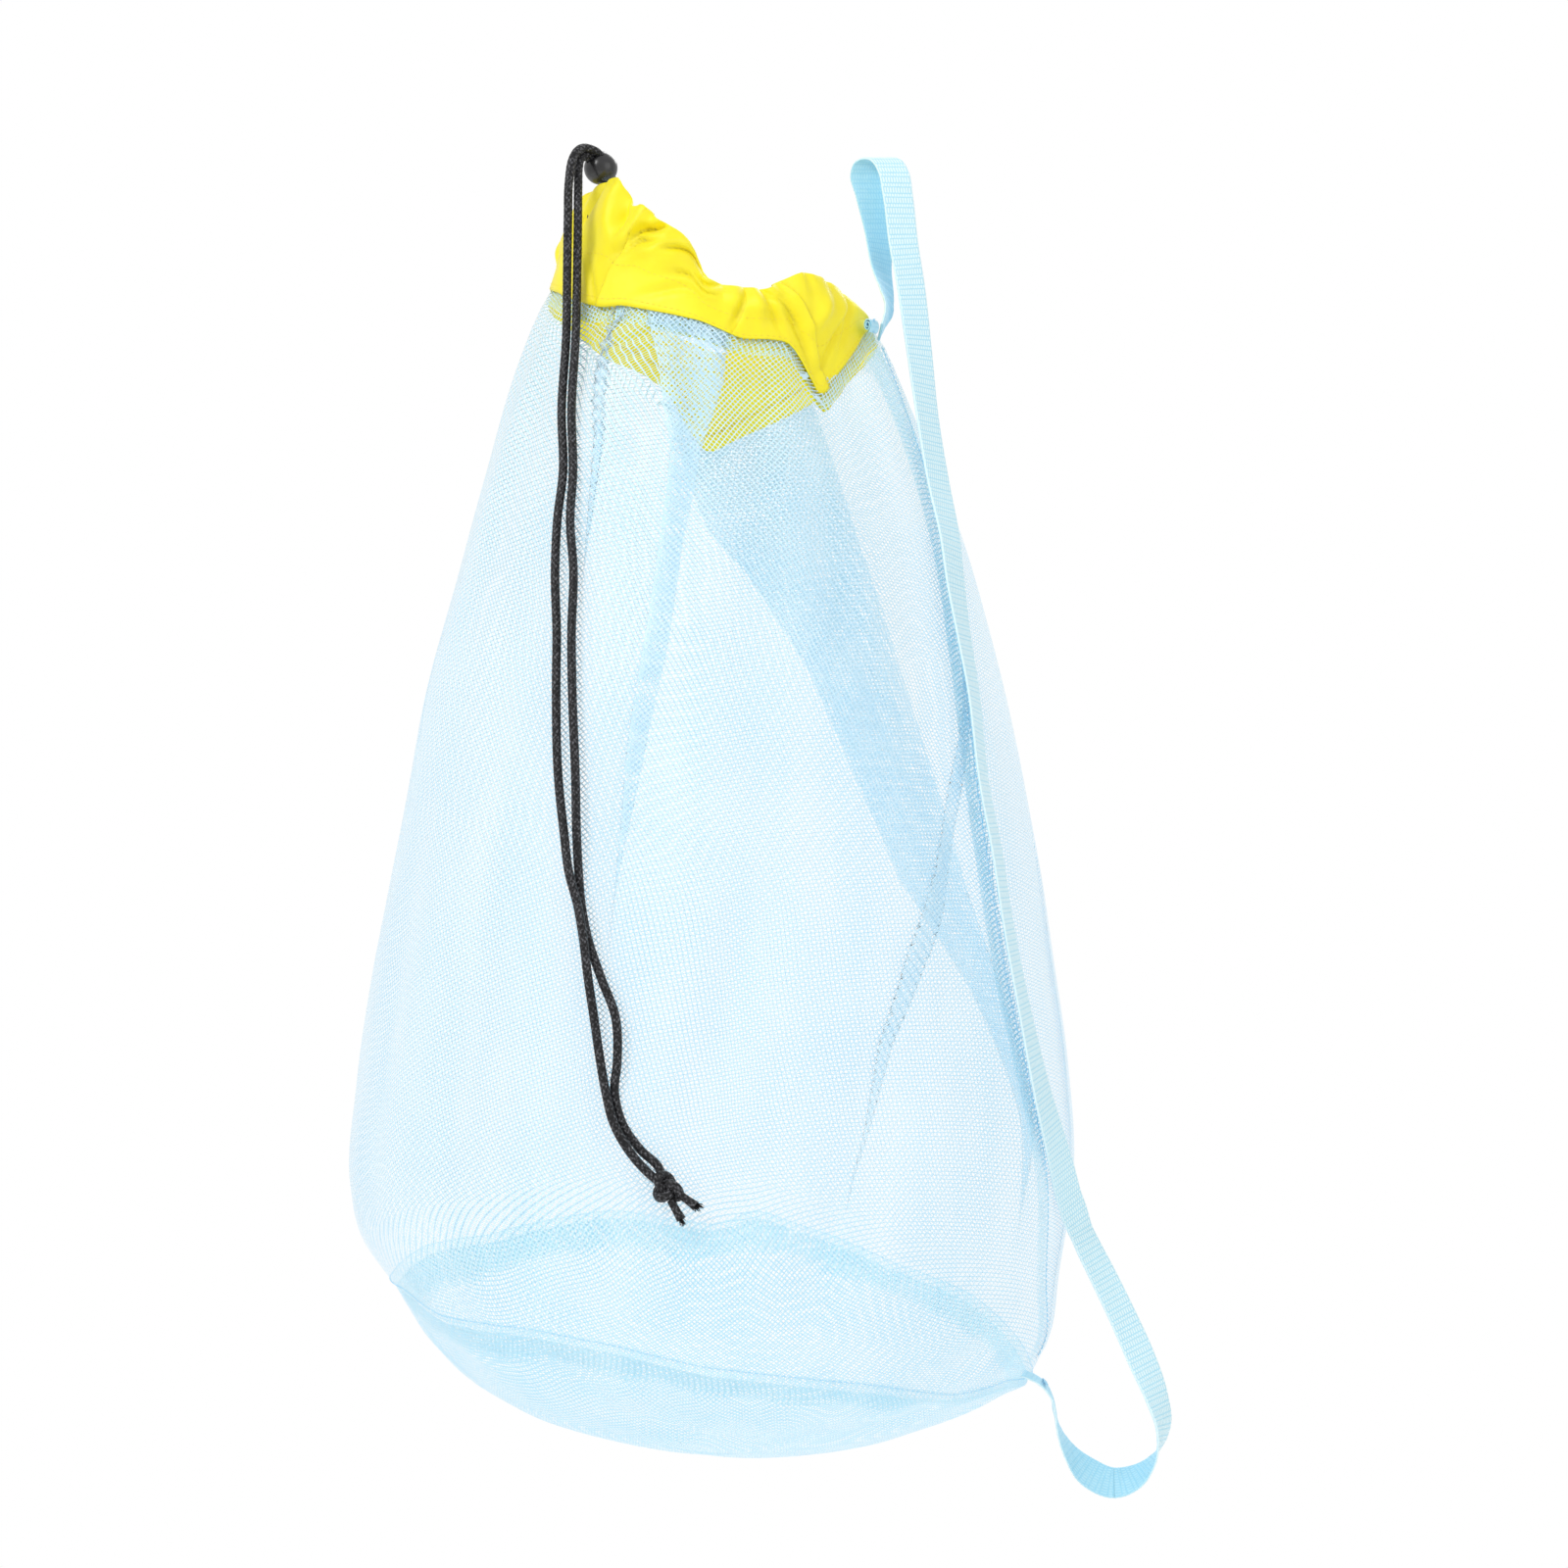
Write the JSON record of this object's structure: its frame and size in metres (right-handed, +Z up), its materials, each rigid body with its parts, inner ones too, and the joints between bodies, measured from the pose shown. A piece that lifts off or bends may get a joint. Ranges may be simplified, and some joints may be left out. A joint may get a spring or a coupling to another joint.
{
  "type": "mesh ball bag",
  "caption": "Drawstring net bag for carrying balls, with a padded-edge fabric collar, a cord with a ball cord lock and a webbing shoulder strap.",
  "frame": {"origin": "underside of the shoulder strap's top fold, where the bag hangs on a peg or hook", "axes": "+Z up, -Y towards the bag's front, +X towards the side with the side seam and the strap; the bag's own upright axis is at x = -0.084 m"},
  "size_m": [0.4147, 0.3324, 0.6801],
  "materials": {
    "net": "translucent pale blue warp-knitted diamond net",
    "net_seam": "turned double net with overlock stitches",
    "collar": "bright yellow plain-weave polyester with soft puckers",
    "webbing": "light blue ribbed polyester webbing",
    "yellow_thread": "twisted polyester sewing thread",
    "blue_thread": "twisted polyester sewing thread",
    "cord": "black braided polyester",
    "lock_plastic": "polished black acetal",
    "spring_steel": "bright drawn spring wire"
  },
  "bodies": {
    "bag": {"mesh_body": "net", "base_panel": "net", "base_seam_allowance": "net_seam", "base_seam_thread": "blue_thread", "side_seam_allowance": "net_seam", "side_seam_thread": "blue_thread", "collar_casing": "collar", "collar_hem": "collar", "collar_seam_thread": "yellow_thread", "collar_channel_thread": "yellow_thread", "drawcord_channel": "cord", "cord_lead_a": "cord", "cord_lead_b": "cord", "strap_upper": "webbing", "strap_top_tab": "webbing", "strap_bottom_tab": "webbing", "bartack_top": "blue_thread", "bartack_bottom": "blue_thread"},
    "lock": {"lock_housing": "lock_plastic", "lock_spring": "spring_steel"},
    "plunger": {"lock_plunger": "lock_plastic"},
    "tails": {"cord_tail_a": "cord", "cord_tail_b": "cord", "cord_knot": "cord", "cord_end_a": "cord", "cord_end_b": "cord"},
    "strap_loop": {"strap_loop": "webbing"}
  },
  "joints": [
    {"name": "lock_slide", "type": "slide", "parent": "bag", "child": "lock", "axis": [-0.41, -0.58, 0.704], "range_m": [-0.005, 0]},
    {"name": "lock_press", "type": "slide", "parent": "lock", "child": "plunger", "axis": [0.168, -0.8058, -0.5679], "range_m": [0, 0.0025], "stiffness_N_per_m": 400, "springref_m": -0.001, "deforming": ["lock_spring"]},
    {"name": "tail_swing", "type": "hinge", "parent": "bag", "child": "tails", "pos_m": [-0.149, -0.0397, -0.0002], "axis": [-1, 0, 0], "range_deg": [0, 50]},
    {"name": "strap_loop_swing", "type": "hinge", "parent": "bag", "child": "strap_loop", "pos_m": [0.1002, -0.046, -0.5399], "axis": [0.1297, 0, 0.9916], "range_deg": [-80, 75]}
  ]
}
